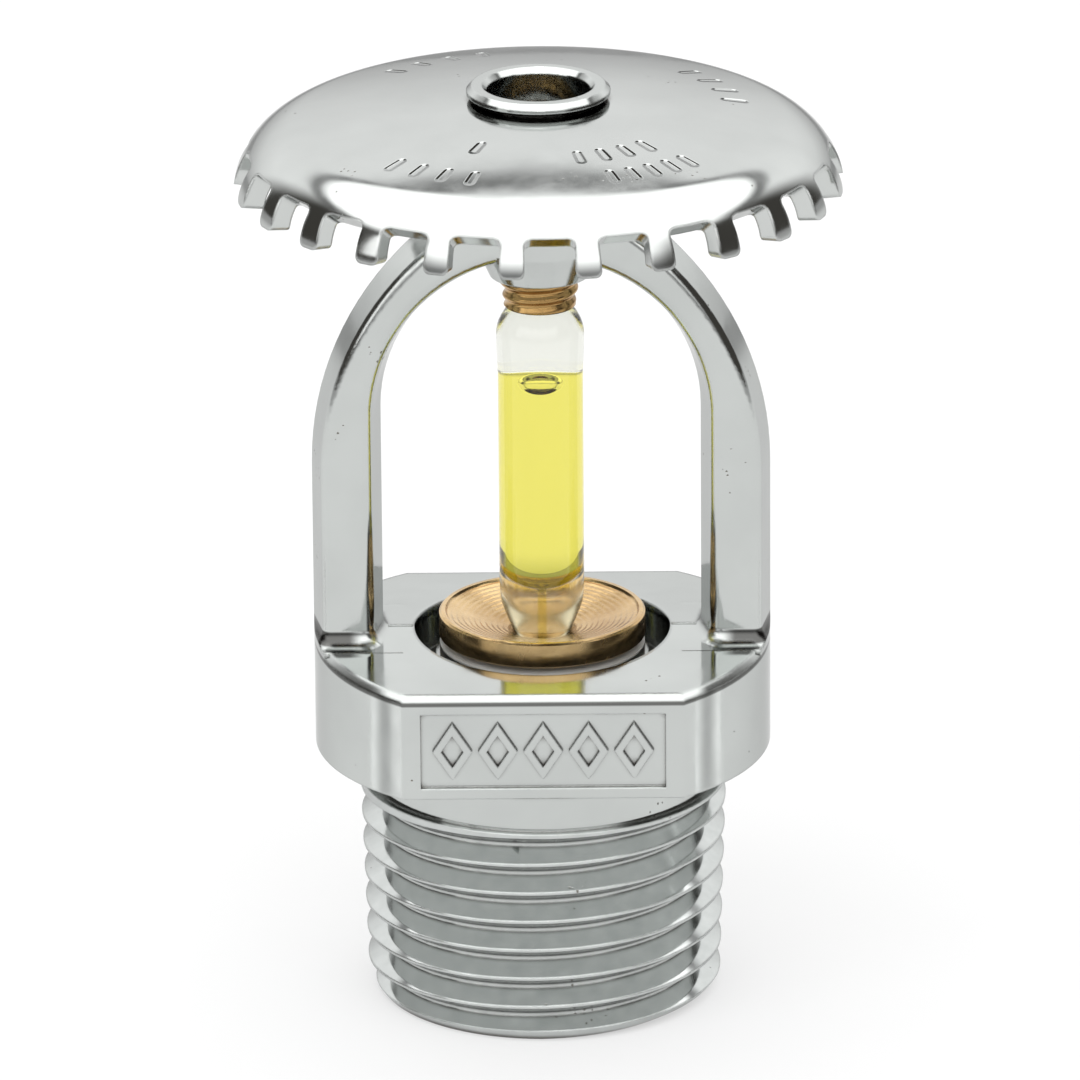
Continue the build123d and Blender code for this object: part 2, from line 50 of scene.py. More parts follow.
class Nodes:
    """Small wrapper that makes the node trees below short to read."""

    def __init__(self, tree):
        self.tree = tree

    def add(self, kind, **values):
        node = self.tree.nodes.new(kind)
        for name, value in values.items():
            if hasattr(node, name):
                setattr(node, name, value)
            else:
                node.inputs[name.replace("_", " ")].default_value = value
        return node

    def link(self, source, target):
        self.tree.links.new(source, target)

    def feed(self, value, socket):
        """Put a plain value in a socket, or link an output to it."""
        if isinstance(value, (int, float, tuple)):
            socket.default_value = value
        else:
            self.link(value, socket)

    def ramp(self, source, stops):
        node = self.tree.nodes.new("ShaderNodeValToRGB")
        ramp = node.color_ramp
        while len(ramp.elements) < len(stops):
            ramp.elements.new(0.5)
        for element, (place, colour) in zip(ramp.elements, stops):
            element.position = place
            element.color = opaque(colour)
        self.link(source, node.inputs["Fac"])
        return node.outputs["Color"]

    def math(self, operation, first, second=0.5):
        node = self.tree.nodes.new("ShaderNodeMath")
        node.operation = operation
        self.feed(first, node.inputs[0])
        self.feed(second, node.inputs[1])
        return node.outputs[0]

    def plus(self, first, second):
        return self.math("ADD", first, second)

    def minus(self, first, second):
        return self.math("SUBTRACT", first, second)

    def times(self, first, second):
        return self.math("MULTIPLY", first, second)

    def size(self, value):
        return self.math("ABSOLUTE", value)

    def hypotenuse(self, first, second):
        return self.math("SQRT", self.plus(self.times(first, first), self.times(second, second)))

    def split(self, vector):
        """The three parts of a vector."""
        node = self.tree.nodes.new("ShaderNodeSeparateXYZ")
        self.link(vector, node.inputs["Vector"])
        return node.outputs["X"], node.outputs["Y"], node.outputs["Z"]

    def span(self, source, start, end):
        """0 before start and 1 after end, eased between them."""
        node = self.tree.nodes.new("ShaderNodeMapRange")
        node.interpolation_type = "SMOOTHSTEP"
        node.inputs["From Min"].default_value = start
        node.inputs["From Max"].default_value = end
        self.link(source, node.inputs["Value"])
        return node.outputs["Result"]

    def near(self, source, middle, reach, core):
        """1 within core of the middle and 0 beyond reach, eased between them."""
        return self.span(self.size(self.minus(source, middle)), reach, core)

    def mix(self, factor, first, second):
        node = self.tree.nodes.new("ShaderNodeMix")
        node.data_type = "RGBA"
        self.link(factor, node.inputs["Factor"])
        for socket, colour in ((node.inputs[6], first), (node.inputs[7], second)):
            self.feed(opaque(colour) if isinstance(colour, tuple) else colour, socket)
        return node.outputs[2]

    def noise(self, coordinates, scale, detail=3.0, roughness=0.5):
        node = self.tree.nodes.new("ShaderNodeTexNoise")
        node.inputs["Scale"].default_value = scale
        node.inputs["Detail"].default_value = detail
        node.inputs["Roughness"].default_value = roughness
        self.link(coordinates, node.inputs["Vector"])
        return node.outputs["Fac"]

    def bump(self, height, distance, normal=None):
        node = self.tree.nodes.new("ShaderNodeBump")
        node.inputs["Distance"].default_value = distance
        node.inputs["Strength"].default_value = 1.0
        self.link(height, node.inputs["Height"])
        if normal is not None:
            self.link(normal, node.inputs["Normal"])
        return node.outputs["Normal"]


def opaque(colour):
    """A colour of three parts with an alpha of 1."""
    return (*colour, 1)


def grey(value):
    return (value, value, value)


def new_material(name):
    """Node material with its shader, and the object coordinates in metres."""
    material = bpy.data.materials.new(name)
    material.use_nodes = True
    nodes = Nodes(material.node_tree)
    shader = material.node_tree.nodes["Principled BSDF"]
    coordinates = nodes.add("ShaderNodeTexCoord").outputs["Object"]
    return material, nodes, shader, coordinates


def set_surface(nodes, shader, colour, roughness, normal):
    """Link the three things that every material here works out."""
    nodes.link(colour, shader.inputs["Base Color"])
    nodes.link(roughness, shader.inputs["Roughness"])
    nodes.link(normal, shader.inputs["Normal"])


# ---------------------------------------------------------------- materials

DASH_WIDTH = 0.46
DASH_LENGTH = 1.50
DASH_SOFTNESS = 0.12
DASH_DEPTH = 0.32
# rows of plain dashes: radius in mm, first and last bearing from -Y in degrees, count
DASH_ROWS = ((12.3, 20, 44, 5), (9.6, 14, 40, 4), (12.3, -42, -18, 4),
             (11.6, 100, 130, 4), (11.6, -164, -134, 4), (8.6, -24, -23, 1))


def dash_marks(nodes, place):
    """1 inside the short plain dashes pressed into the dome, 0 outside."""
    across, backwards, _ = nodes.split(place)
    forwards = nodes.times(backwards, -1.0)
    bearing = nodes.math("ARCTAN2", across, forwards)
    radius = nodes.hypotenuse(across, forwards)
    half, soft = DASH_WIDTH * MM / 2, DASH_SOFTNESS * MM
    straight = (DASH_LENGTH - DASH_WIDTH) / 2 * MM
    total = None
    for row_radius, first, last, count in DASH_ROWS:
        step = radians(last - first) / max(count - 1, 1)
        index = nodes.math("DIVIDE", nodes.minus(bearing, radians(first)), step)
        below_last = nodes.math("MINIMUM", nodes.math("ROUND", index), count - 1.0)
        nearest = nodes.math("MAXIMUM", below_last, 0.0)
        aside = nodes.times(nodes.minus(index, nearest), step * row_radius * MM)
        lengthways = nodes.size(nodes.minus(radius, row_radius * MM))
        past_end = nodes.math("MAXIMUM", nodes.minus(lengthways, straight), 0.0)
        dash = nodes.span(nodes.hypotenuse(aside, past_end), half + soft, half - soft)
        total = dash if total is None else nodes.math("MAXIMUM", total, dash)
    return total


THREAD_TOP = 13.0
BOSS_RIDGE = 22.4
BOSS_ROOF_ANGLE = 2.8
EDGE_LINE_DEPTH = 0.48
CORNER_SHADE_LIFT = 0.45
ARM_FOOT_START = 10.4
ARM_FOOT_FULL = 11.4
CREVICE_REACH = 0.45
PIT_DEPTH = 0.02
THREAD_DARK = (0.48, 0.50, 0.49)
THREAD_LIGHT = (0.62, 0.64, 0.63)
# painted shade: colour of the thin dark line just under the boss's top edge
EDGE_SHADE = (0.07, 0.07, 0.065)
# painted shade: colour of the dark patches at the arms' outer feet
CORNER_SHADE = (0.05, 0.048, 0.045)
# painted shade: colour that crevices darken to
CREVICE_SHADE = (0.15, 0.145, 0.135)
PIT_COLOUR = (0.20, 0.19, 0.17)


def casting_edge_radius(nodes, place, edge_round):
    """Radius that the casting's edges are shaded round with, larger at the boss's upper edge."""
    height = nodes.split(place)[2]
    near_top = nodes.near(height, (BOSS_RIDGE - 0.3) * MM, 0.9 * MM, 0.6 * MM)
    return nodes.plus(nodes.times(near_top, 0.20 * MM), edge_round * MM)


def casting_colour(nodes, place, colour):
    """The plate's colour, a dull machined thread, and painted shade: a dark line just under the boss's edge
    and dark patches at the arms' feet.
    """
    x, y, height = nodes.split(place)
    machined = nodes.span(height, (THREAD_TOP + 0.6) * MM, THREAD_TOP * MM)
    dull = nodes.mix(nodes.noise(place, 900.0, 4.0), THREAD_DARK, THREAD_LIGHT)
    fall = nodes.times(nodes.size(y), tan(radians(BOSS_ROOF_ANGLE)))
    under_roof = nodes.minus(nodes.minus(BOSS_RIDGE * MM, fall), height)
    # painted shade: a thin dark line just under the boss's top edge, all the way round
    edge_line = nodes.near(under_roof, EDGE_LINE_DEPTH * MM, 0.20 * MM, 0.06 * MM)
    lined = nodes.mix(nodes.times(edge_line, 0.85), colour, EDGE_SHADE)
    # painted shade: dark patches just above the boss's edge at each arm's outer foot
    outboard = nodes.span(nodes.size(x), ARM_FOOT_START * MM, ARM_FOOT_FULL * MM)
    just_above = nodes.near(under_roof, -CORNER_SHADE_LIFT * MM, 0.42 * MM, 0.30 * MM)
    corner = nodes.times(nodes.times(outboard, just_above), 0.9)
    return nodes.mix(machined, nodes.mix(corner, lined, CORNER_SHADE), dull)


def chrome_material(name, tint, wave, pit_share, edge_round, marks=None, casting=False):
    """Bright plate over uneven metal: soft edges, fine pits, faint smears and painted shade in its corners.
    """
    material, nodes, shader, place = new_material(name)
    shader.inputs["Metallic"].default_value = 1.0
    shader.inputs["Specular Tint"].default_value = opaque(grey(0.70))
    smeared = tuple(part * 0.92 for part in tint)
    colour = nodes.ramp(nodes.noise(place, 160.0, 4.0), [(0.30, smeared), (0.65, tint)])
    pits = nodes.add("ShaderNodeTexVoronoi", Scale=2600.0)
    nodes.link(place, pits.inputs["Vector"])
    sparse = nodes.math("GREATER_THAN", nodes.noise(place, 310.0, 2.0), 1.0 - pit_share)
    pit = nodes.times(sparse, nodes.span(pits.outputs["Distance"], 0.22, 0.12))
    bevel = nodes.add("ShaderNodeBevel", samples=4)
    bevel.inputs["Radius"].default_value = edge_round * MM
    if casting:
        nodes.link(casting_edge_radius(nodes, place, edge_round), bevel.inputs["Radius"])
        colour = casting_colour(nodes, place, colour)
    # painted shade: the colour darkens in crevices found by ambient occlusion
    crevices = nodes.add("ShaderNodeAmbientOcclusion", samples=6)
    crevices.inputs["Distance"].default_value = CREVICE_REACH * MM
    colour = nodes.mix(nodes.span(crevices.outputs["AO"], 0.30, 0.80), CREVICE_SHADE, colour)
    rough = nodes.ramp(nodes.noise(place, 420.0, 5.0, 0.6), [(0.35, grey(0.07)), (0.75, grey(0.17))])
    normal = nodes.bump(nodes.noise(place, 230.0, 2.0), wave * MM, bevel.outputs["Normal"])
    if marks:
        normal = nodes.bump(nodes.times(marks(nodes, place), -1.0), DASH_DEPTH * MM, normal)
    normal = nodes.bump(nodes.times(pit, -1.0), PIT_DEPTH * MM, normal)
    set_surface(nodes, shader, nodes.mix(pit, colour, PIT_COLOUR), rough, normal)
    return material


def brass_material(name, light, dark, ring_pitch, groove):
    """Turned brass: fine rings left by the tool, with tarnish that gathers unevenly."""
    material, nodes, shader, place = new_material(name)
    shader.inputs["Metallic"].default_value = 1.0
    colour = nodes.ramp(nodes.noise(place, 190.0, 5.0, 0.62), [(0.32, dark), (0.62, light)])
    x, y, _ = nodes.split(place)
    drift = nodes.times(nodes.noise(place, 900.0, 2.0), 0.5 * ring_pitch * MM)
    radius = nodes.plus(nodes.hypotenuse(x, y), drift)
    rings = nodes.math("SINE", nodes.times(radius, 2 * pi / (ring_pitch * MM)))
    rough = nodes.ramp(nodes.noise(place, 700.0, 4.0, 0.6), [(0.3, grey(0.16)), (0.8, grey(0.34))])
    set_surface(nodes, shader, colour, rough, nodes.bump(rings, groove * MM))
    return material


GLASS_INDEX = 1.47
LIQUID_INDEX = 1.43
CLOUDINESS = 0.16
# painted colour: the beige-yellow of the liquid stem and brass seen through the bulb's clear foot
FOOT_SEEN_THROUGH_TINT = (0.80, 0.73, 0.50)
CLOUD_START = 39.5
CLOUD_FULL = 41.0


def clear_material(name, index, tint, worked_ends=False):
    """Clear glass or gas with the slightest ripple; the bulb's two worked ends are cloudy, and the foot has a
    painted beige-yellow tint for what shows through it.
    """
    material, nodes, shader, place = new_material(name)
    shader.inputs["Transmission Weight"].default_value = 1.0
    shader.inputs["IOR"].default_value = index
    lighter = tuple(part * 1.02 for part in tint)
    colour = nodes.ramp(nodes.noise(place, 90.0), [(0.3, tint), (0.7, lighter)])
    rough = nodes.ramp(nodes.noise(place, 500.0), [(0.4, grey(0.0)), (0.8, grey(0.02))])
    if worked_ends:
        height = nodes.split(place)[2]
        head = nodes.span(height, CLOUD_START * MM, CLOUD_FULL * MM)
        foot = nodes.span(height, CHAMBER_FLOOR * MM, (CHAMBER_FLOOR - 1.0) * MM)
        rough = nodes.plus(nodes.times(nodes.plus(head, foot), CLOUDINESS), rough)
        # painted colour of what shows through the foot, put on the glass itself
        colour = nodes.mix(foot, colour, FOOT_SEEN_THROUGH_TINT)
    set_surface(nodes, shader, colour, rough, nodes.bump(nodes.noise(place, 260.0, 1.0), 0.004 * MM))
    return material


def fluid_material():
    """Clear yellow liquid with painted olive shade at its rounded bottom, pale in the stem; index relative to
    the glass.
    """
    material, nodes, shader, place = new_material("yellow_fluid_look")
    shader.inputs["Transmission Weight"].default_value = 1.0
    shader.inputs["IOR"].default_value = LIQUID_INDEX / GLASS_INDEX
    height = nodes.split(place)[2]
    drift = nodes.plus(height, nodes.times(nodes.noise(place, 200.0), 0.4 * MM))
    # deep is painted shade: the olive that the liquid's rounded bottom is darkened to
    deep, clear, pale = (0.36, 0.35, 0.02), (1.0, 0.915, 0.18), (0.97, 0.92, 0.50)
    rise = nodes.span(drift, CHAMBER_FLOOR * MM, (CHAMBER_FLOOR + 2.0) * MM)
    in_stem = nodes.span(height, (CHAMBER_FLOOR - 0.1) * MM, (CHAMBER_FLOOR - 0.3) * MM)
    colour = nodes.mix(in_stem, nodes.mix(rise, deep, clear), pale)
    at_roof = nodes.span(height, (CHAMBER_ROOF - 1.3) * MM, (CHAMBER_ROOF - 0.8) * MM)
    ripple = nodes.ramp(nodes.noise(place, 300.0, 2.0), [(0.4, grey(0.0)), (0.8, grey(0.03))])
    rough = nodes.plus(nodes.times(at_roof, 0.15), ripple)
    set_surface(nodes, shader, colour, rough, nodes.bump(nodes.noise(place, 150.0, 1.0), 0.002 * MM))
    return material


def spring_material():
    """Rolled spring metal, coloured darker as painted shade for the recess under the button."""
    material, nodes, shader, place = new_material("spring_look")
    shader.inputs["Metallic"].default_value = 1.0
    # painted shade: darker than bare spring metal, standing in for the shaded recess
    dark, light = (0.27, 0.265, 0.25), (0.40, 0.39, 0.375)
    colour = nodes.ramp(nodes.noise(place, 300.0, 4.0), [(0.3, dark), (0.7, light)])
    rough = nodes.ramp(nodes.noise(place, 800.0, 4.0), [(0.3, grey(0.25)), (0.8, grey(0.42))])
    set_surface(nodes, shader, colour, rough, nodes.bump(nodes.noise(place, 1500.0), 0.01 * MM))
    return material


def film_material():
    """PTFE film, waxy and slightly creased, its white greyed as painted shade for the recess under the
    button.
    """
    material, nodes, shader, place = new_material("seal_film_look")
    shader.inputs["Subsurface Weight"].default_value = 0.1
    # painted shade: white film greyed down, standing in for the shaded recess
    dark, light = (0.42, 0.41, 0.38), (0.60, 0.59, 0.56)
    colour = nodes.ramp(nodes.noise(place, 350.0, 4.0), [(0.3, dark), (0.7, light)])
    rough = nodes.ramp(nodes.noise(place, 900.0), [(0.3, grey(0.42)), (0.8, grey(0.6))])
    set_surface(nodes, shader, colour, rough, nodes.bump(nodes.noise(place, 1100.0), 0.02 * MM))
    return material


def floor_material():
    """White acrylic sheet lit from below round the object, fading with distance."""
    material, nodes, shader, place = new_material("acrylic_floor")
    colour = nodes.ramp(nodes.noise(place, 40.0), [(0.3, grey(0.29)), (0.7, grey(0.30))])
    nodes.link(colour, shader.inputs["Base Color"])
    shader.inputs["Roughness"].default_value = 0.9
    shader.inputs["Emission Color"].default_value = opaque(grey(1.0))
    distance = nodes.add("ShaderNodeVectorMath", operation="LENGTH")
    nodes.link(place, distance.inputs[0])
    fade = nodes.span(distance.outputs["Value"], 0.55, 0.22)
    nodes.link(nodes.times(fade, 0.55), shader.inputs["Emission Strength"])
    return material


def card_material(name, half_width):
    """Faintly lit grey card, darkest in the middle and fading to pale at its upright edges."""
    material, nodes, shader, place = new_material(name)
    wavy = nodes.plus(nodes.split(place)[0], nodes.times(nodes.noise(place, 60.0), 1.0 * MM))
    fade = nodes.span(nodes.size(wavy), 0.1 * half_width, half_width)
    nodes.link(nodes.mix(fade, grey(0.45), grey(0.70)), shader.inputs["Base Color"])
    shader.inputs["Roughness"].default_value = 0.9
    shader.inputs["Emission Color"].default_value = opaque(grey(1.0))
    nodes.link(nodes.plus(nodes.times(fade, 0.50), 0.26), shader.inputs["Emission Strength"])
    return material


# ---------------------------------------------------------------- studio

def aim(thing, target):
    thing.rotation_euler = (Vector(target) - thing.location).to_track_quat("-Z", "Y").to_euler()


def add_object(name, data):
    thing = bpy.data.objects.new(name, data)
    bpy.context.scene.collection.objects.link(thing)
    return thing


def make_camera():
    """Long lens in front of the object, looking down 20 degrees, very slightly rolled and shifted."""
    distance = 0.700
    elevation = radians(20.0)
    target_height = 28 * MM
    view_width = 63.53 * MM
    data = bpy.data.cameras.new("camera")
    data.sensor_width = 36.0
    data.lens = data.sensor_width * distance / view_width
    data.clip_start = 0.01
    data.shift_x = -0.00148
    data.shift_y = -0.00463
    camera = add_object("camera", data)
    camera.location = (0, -distance * cos(elevation), target_height + distance * sin(elevation))
    aim(camera, (0, 0, target_height))
    roll = Matrix.Rotation(radians(-0.43), 4, "Z")
    camera.matrix_world = Matrix.LocRotScale(camera.location, camera.rotation_euler, None) @ roll
    bpy.context.scene.camera = camera


def make_floor():
    """Large flat sheet that the sprinkler stands on."""
    mesh = bpy.data.meshes.new("floor")
    reach = 3.0
    corners = [(-reach, -reach, 0), (reach, -reach, 0), (reach, reach, 0), (-reach, reach, 0)]
    mesh.from_pydata(corners, [], [(0, 1, 2, 3)])
    mesh.materials.append(floor_material())
    floor = add_object("floor", mesh)
    floor.location.z = -0.02 * MM


CARD_SIZE = 14 * MM


def make_card(name, centre, size):
    """Upright square card beside the object that only mirror-like surfaces can see."""
    mesh = bpy.data.meshes.new(name)
    half = size / 2
    corners = [(-half, 0, -half), (half, 0, -half), (half, 0, half), (-half, 0, half)]
    mesh.from_pydata(corners, [], [(0, 1, 2, 3)])
    mesh.materials.append(card_material(name + "_card", half))
    card = add_object(name, mesh)
    card.location = centre
    card.rotation_euler = Euler((0, 0, radians(90)))
    card.visible_camera = False
    card.visible_shadow = False
    card.visible_diffuse = False


def make_light(name, place, target, size, power):
    data = bpy.data.lights.new(name, "AREA")
    data.shape = "RECTANGLE"
    data.size, data.size_y = size
    data.energy = power
    light = add_object(name, data)
    light.location = place
    aim(light, target)


# brightness of the tent against the upward part of the direction, from level to straight up
TENT_BEHIND = ((0.0, 0.40), (0.20, 0.60), (0.36, 0.66), (0.58, 0.64),
               (0.615, 0.20), (0.645, 0.14), (0.68, 1.0), (1.0, 1.0))
TENT_AHEAD = ((0.0, 0.12), (0.05, 0.18), (0.18, 0.50), (0.38, 1.0), (1.0, 1.0))
TENT_GAP = (0.035, 0.033, 0.030)


def make_world():
    """White tent: bright roof with a dark seam at the back, dim cloth low down, dark gaps at both sides."""
    world = bpy.data.worlds.new("tent")
    bpy.context.scene.world = world
    world.use_nodes = True
    nodes = Nodes(world.node_tree)
    background = world.node_tree.nodes["Background"]
    x, y, z = nodes.split(nodes.add("ShaderNodeTexCoord").outputs["Generated"])
    behind = nodes.ramp(z, [(place, grey(value)) for place, value in TENT_BEHIND])
    ahead = nodes.ramp(z, [(place, grey(value)) for place, value in TENT_AHEAD])
    cloth = nodes.mix(nodes.span(y, -0.12, 0.16), ahead, behind)
    gap = nodes.times(nodes.span(nodes.size(x), 0.60, 0.80), nodes.span(z, 0.70, 0.58))
    nodes.link(nodes.mix(gap, cloth, TENT_GAP), background.inputs["Color"])
    background.inputs["Strength"].default_value = 2.0


def make_studio():
    make_camera()
    make_world()
    make_floor()
    middle = (0, 0, 30 * MM)
    make_light("top_soft", (-0.10, -0.12, 0.90), middle, (0.50, 0.22), 0.8)
    make_light("left_soft", (-0.75, -0.45, 0.35), middle, (0.30, 0.45), 0.7)
    for name, x, y in (("flag_left", -48, -11.0), ("flag_right", 48, -7.5)):
        make_card(name, (x * MM, y * MM, CARD_SIZE / 2), CARD_SIZE)
    bpy.context.scene.view_settings.view_transform = "Standard"


# ---------------------------------------------------------------- mesh helpers

def add_piece(name, points, faces, material, body, node, sharp=35):
    """Mesh from millimetre points, smooth up to the sharp angle, standing for a CAD node if one is named."""
    mesh = bpy.data.meshes.new(name)
    mesh.from_pydata([[value * MM for value in point] for point in points], [], faces)
    work = bmesh.new()
    work.from_mesh(mesh)
    bmesh.ops.remove_doubles(work, verts=work.verts, dist=1e-7)
    bmesh.ops.recalc_face_normals(work, faces=work.faces)
    work.to_mesh(mesh)
    work.free()
    mesh.shade_smooth()
    mesh.set_sharp_from_angle(angle=radians(sharp))
    mesh.materials.append(material)
    piece = add_object(name, mesh)
    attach(piece, body)
    if node:
        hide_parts(node)


def polar_grid(rows, columns):
    """Skin through rows of (radius, height), each a pair or a function of the bearing; ends capped."""
    points = []
    for row in rows:
        for column in range(columns):
            bearing = 2 * pi * column / columns
            radius, height = row(bearing) if callable(row) else row
            points.append((radius * sin(bearing), -radius * cos(bearing), height))
    faces = [tuple(range(columns))]
    for row in range(len(rows) - 1):
        for column in range(columns):
            here = row * columns
            after = (column + 1) % columns
            faces.append((here + column, here + after, here + columns + after, here + columns + column))
    last = (len(rows) - 1) * columns
    faces.append(tuple(range(last, last + columns)))
    return points, faces


def eased(outline, passes):
    """Outline with its corners cut, which leaves the two end points where they are."""
    share = 0.25
    for _ in range(passes):
        smoother = [outline[0]]
        for (r0, z0), (r1, z1) in zip(outline, outline[1:]):
            smoother.append((r0 + (r1 - r0) * share, z0 + (z1 - z0) * share))
            smoother.append((r1 - (r1 - r0) * share, z1 - (z1 - z0) * share))
        outline = smoother + [outline[-1]]
    return outline


def filled_out(outline, step):
    """Outline with extra points along its long stretches."""
    fine = [outline[0]]
    for (r0, z0), (r1, z1) in zip(outline, outline[1:]):
        count = max(1, round(sqrt((r1 - r0) ** 2 + (z1 - z0) ** 2) / step))
        fine += [(r0 + (r1 - r0) * k / count, z0 + (z1 - z0) * k / count) for k in range(1, count + 1)]
    return fine


def arc(centre, radius, start, end, count):
    """Points of a circular arc in the (radius, height) plane, angles in degrees from horizontal."""
    angles = [radians(start + (end - start) * k / count) for k in range(count + 1)]
    return [(centre[0] + radius * cos(a), centre[1] + radius * sin(a)) for a in angles]


def turned_size(node):
    """Radius, bottom and top of a turned CAD node in millimetres."""
    low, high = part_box(node)
    return high[0] / MM, low[2] / MM, high[2] / MM


# ---------------------------------------------------------------- deflector

SHEET = 1.30
DOME_RADIUS = 68.0
DOME_EDGE = 14.4
BEND_RADIUS = 4.3
SKIRT_ANGLE = 80
HOLE_RADIUS = 3.56
TOOTH_COUNT = 25
SLOT_BEARING = 2.0
SLOT_WIDTH = 2.95
SLOT_ANGLE = 52
SLOT_CORNER = 0.45
TOOTH_CORNER = 0.40
DOME_STEPS = 26
BEND_STEPS = 12
SLOT_STEPS = 22
SKIRT_STEPS = 16
CELLS = 5
UNCUT = -1


def deflector_rows(top, bottom):
    """Stations along the sheet's top face: radius, height, tilt, and distance past the slot's start."""
    slope = atan(DOME_EDGE / sqrt(DOME_RADIUS ** 2 - DOME_EDGE ** 2))
    centre = top - DOME_RADIUS
    bend_r = (DOME_RADIUS - BEND_RADIUS) * sin(slope)
    bend_z = centre + (DOME_RADIUS - BEND_RADIUS) * cos(slope)
    rows = []
    for step in range(DOME_STEPS):
        radius = HOLE_RADIUS + (DOME_EDGE - HOLE_RADIUS) * step / DOME_STEPS
        height = centre + sqrt(DOME_RADIUS ** 2 - radius ** 2)
        rows.append((radius, height, atan(radius / DOME_RADIUS), UNCUT))
    slot_start = radians(SLOT_ANGLE)
    to_skirt = radians(SKIRT_ANGLE) - slot_start
    tilts = [slope + (slot_start - slope) * k / BEND_STEPS for k in range(BEND_STEPS)]
    tilts += [slot_start + to_skirt * k / SLOT_STEPS for k in range(SLOT_STEPS + 1)]
    for tilt in tilts:
        past = (tilt - slot_start) * BEND_RADIUS if tilt >= slot_start else UNCUT
        rows.append((bend_r + BEND_RADIUS * sin(tilt), bend_z + BEND_RADIUS * cos(tilt), tilt, past))
    radius, height, tilt, past = rows[-1]
    foot = (height - bottom) / sin(tilt)
    for step in range(1, SKIRT_STEPS + 1):
        run = foot * step / SKIRT_STEPS
        rows.append((radius + run * cos(tilt), height - run * sin(tilt), tilt, past + run))
    return rows


def slot_half_width(past, total):
    """Half the slot's width, which narrows at its rounded end and flares round the tooth corners."""
    half = SLOT_WIDTH / 2
    if past < SLOT_CORNER:
        deep = SLOT_CORNER - max(past, 0)
        half -= SLOT_CORNER - sqrt(SLOT_CORNER ** 2 - deep ** 2)
    left = total - past
    if left < TOOTH_CORNER:
        half += TOOTH_CORNER - sqrt(max(TOOTH_CORNER ** 2 - (TOOTH_CORNER - left) ** 2, 0))
    return half


def deflector_skin(rows, depth):
    """Points row by row on the sheet at a depth under its top face, across each slot and each tooth."""
    total = rows[-1][3]
    pitch = 2 * pi / TOOTH_COUNT
    points = []
    for radius, height, tilt, past in rows:
        r = radius - depth * sin(tilt)
        z = height - depth * cos(tilt)
        spread = slot_half_width(past, total) / max(r, DOME_EDGE - SHEET)
        for tooth in range(TOOTH_COUNT):
            middle = radians(SLOT_BEARING) + tooth * pitch
            bearings = [middle - spread + 2 * spread * k / CELLS for k in range(CELLS)]
            bearings += [middle + spread + (pitch - 2 * spread) * k / CELLS for k in range(CELLS)]
            points += [(r * sin(a), -r * cos(a), z) for a in bearings]
    return points


def deflector_faces(rows):
    """Faces of the sheet's top, leaving out those in the slots."""
    per_tooth = 2 * CELLS
    per_row = TOOTH_COUNT * per_tooth
    faces = []
    for row in range(len(rows) - 1):
        here = row * per_row
        for column in range(per_row):
            in_slot = column % per_tooth < CELLS
            if in_slot and rows[row][3] != UNCUT:
                continue
            after = (column + 1) % per_row
            faces.append((here + column, here + after, here + per_row + after, here + per_row + column))
    return faces


def make_deflector(material):
    """Dished sheet with punched, rounded slots round its bent edge."""
    _, bottom, top = turned_size("deflector")
    rows = deflector_rows(top, bottom)
    points = deflector_skin(rows, 0) + deflector_skin(rows, SHEET)
    shift = len(points) // 2
    upper = deflector_faces(rows)
    lower = [tuple(corner + shift for corner in reversed(face)) for face in upper]
    edges = {edge: True for face in upper for edge in zip(face, face[1:] + face[:1])}
    walls = [(b, a, a + shift, b + shift) for a, b in edges if (b, a) not in edges]
    faces = upper + lower + walls
    used = sorted({corner for face in faces for corner in face})
    renumber = {old: new for new, old in enumerate(used)}
    add_piece("deflector_plate", [points[corner] for corner in used],
              [tuple(renumber[corner] for corner in face) for face in faces],
              material, "frame_body", "deflector")


# ---------------------------------------------------------------- parting ridge

FLASH_INNER = 7.62
FLASH_OUTER = 9.75
# (y, height) of the ridge's outline
FLASH_OUTLINE = ((-0.20, 22.34), (-0.05, 22.47), (0.05, 22.47), (0.20, 22.34))


def make_parting_flash(material):
    """Low ridge that the casting dies leave on the boss, from the recess to each arm."""
    corners = len(FLASH_OUTLINE)
    points, faces = [], []
    for side in (-1, 1):
        first = len(points)
        for x in (FLASH_INNER, FLASH_OUTER):
            points += [(side * x, y, z) for y, z in FLASH_OUTLINE]
        for k in range(corners):
            after = (k + 1) % corners
            faces.append((first + k, first + after, first + corners + after, first + corners + k))
        faces += [tuple(range(start, start + corners)) for start in (first, first + corners)]
    add_piece("parting_flash", points, faces, material, "frame_body", None)


# ---------------------------------------------------------------- bulb

HEAD_BULGE = 0.09
FOOT_ARC = 1.90
# (radius, height) where the foot widens to the straight body
FOOT_TAPER = ((2.28, 23.55), (2.46, 24.20))
SHOULDER = 24.80
BODY_START = 26.00
CHAMBER_WALL = 0.42
CHAMBER_FLOOR = 24.95
CHAMBER_ROOF = 38.55
ROOF_RISE = 0.85
STEM_FOOT = 21.95
STEM_RADIUS = 0.17
BUBBLE_RADIUS = 0.90
BUBBLE_HALF_HEIGHT = 0.72
BUBBLE_GAP = 0.08
POLE = 0.02


def bulb_radius_at(height, radius, head_centre):
    """The straight body swells slightly just under the round head."""
    return radius + HEAD_BULGE * max(0.0, 1 - ((height - head_centre + 0.3) / 2.2) ** 2) ** 2


